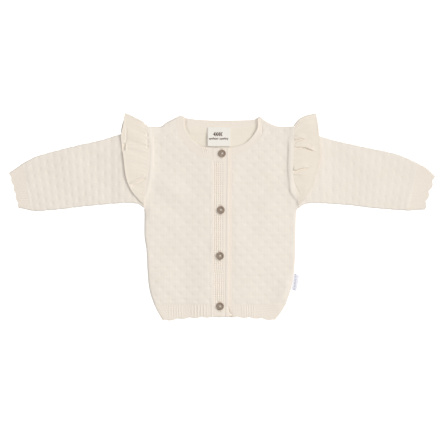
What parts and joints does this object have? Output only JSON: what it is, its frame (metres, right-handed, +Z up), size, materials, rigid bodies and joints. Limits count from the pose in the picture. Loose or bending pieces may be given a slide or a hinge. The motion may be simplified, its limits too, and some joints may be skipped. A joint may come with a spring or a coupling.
{
  "type": "baby cardigan",
  "caption": "Long-sleeved baby cardigan of textured knit with gathered shoulder ruffles, a ribbed buttoned front and scalloped hem and cuffs, laid flat with its arms out.",
  "frame": {"origin": "middle of the garment's bounding box, on the surface that it lies on", "axes": "+X along the arms towards the wearer's left hand, +Y towards the neck, +Z up from the surface, out of the garment's front"},
  "size_m": [0.6395, 0.3116, 0.0095],
  "materials": {
    "body_knit": "textured cotton knit, cream, matt",
    "plain_knit": "plain cotton knit, cream, matt",
    "rib_knit": "ribbed cotton knit, cream, matt",
    "button_shell": "turned coconut shell, dark brown, satin",
    "woven_tape": "woven satin tape, white, blank"
  },
  "bodies": {
    "root": {"back_panel": "body_knit", "front_right": "body_knit", "front_left": "body_knit", "sleeve_right": "body_knit", "sleeve_left": "body_knit", "ruffle_right": "plain_knit", "ruffle_left": "plain_knit", "hem_back": "rib_knit", "hem_right": "rib_knit", "hem_left": "rib_knit", "cuff_right": "rib_knit", "cuff_left": "rib_knit", "neckband_back": "rib_knit", "neckband_right": "rib_knit", "neckband_left": "rib_knit", "band_buttonhole": "rib_knit", "band_button": "rib_knit", "button_1": "button_shell", "button_2": "button_shell", "button_3": "button_shell", "button_4": "button_shell", "neck_label": "woven_tape", "side_tag": "woven_tape"}
  },
  "joints": []
}
